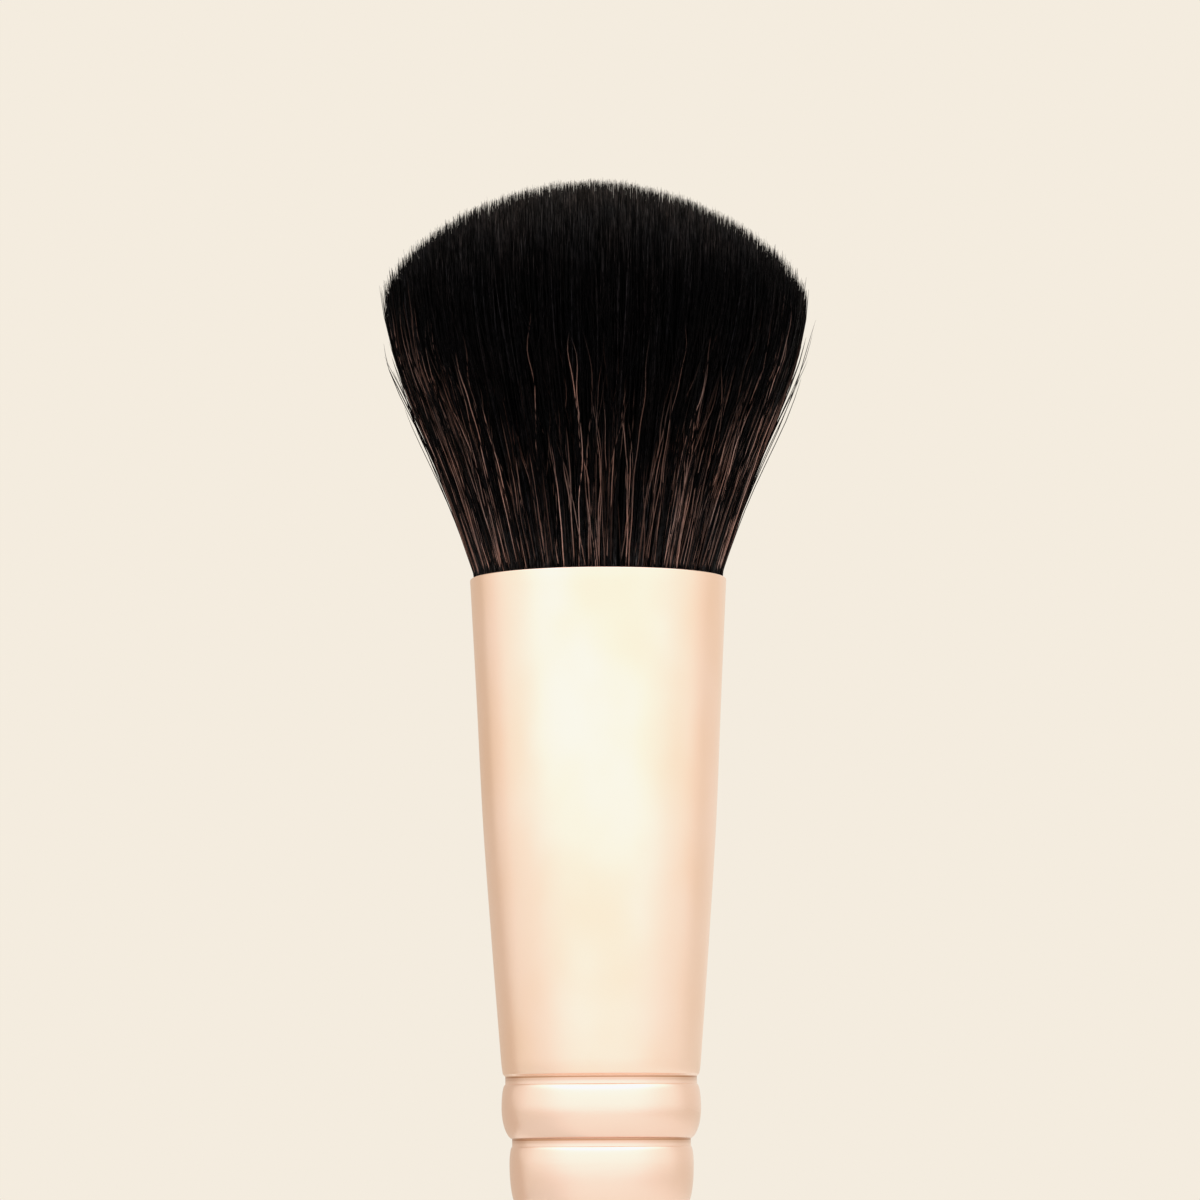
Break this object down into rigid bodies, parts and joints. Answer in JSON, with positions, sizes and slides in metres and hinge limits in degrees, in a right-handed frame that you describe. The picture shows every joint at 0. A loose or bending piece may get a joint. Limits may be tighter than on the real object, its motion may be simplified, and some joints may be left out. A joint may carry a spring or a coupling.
{
  "type": "blush brush",
  "caption": "Round blush brush with a flared domed filament tuft, a crimped metal ferrule and a turned tapering handle.",
  "frame": {"origin": "centre of the flat at the handle's tail", "axes": "+Z along the brush's axis from the handle's tail to the tuft, +X to the right in the picture, and -Y towards its camera"},
  "size_m": [0.0328, 0.033, 0.1753],
  "materials": {
    "filament": "soft black and brown synthetic filament",
    "rose_gold": "satin rose-gold anodised",
    "lacquered_wood": "black satin lacquer",
    "yarn": "twisted yarn",
    "resin": "set resin",
    "glue": "set glue"
  },
  "bodies": {
    "root": {"tuft": "filament", "ferrule": "rose_gold", "handle": "lacquered_wood", "binding_thread": "yarn", "root_adhesive": "resin", "tenon_adhesive": "glue"}
  },
  "joints": []
}
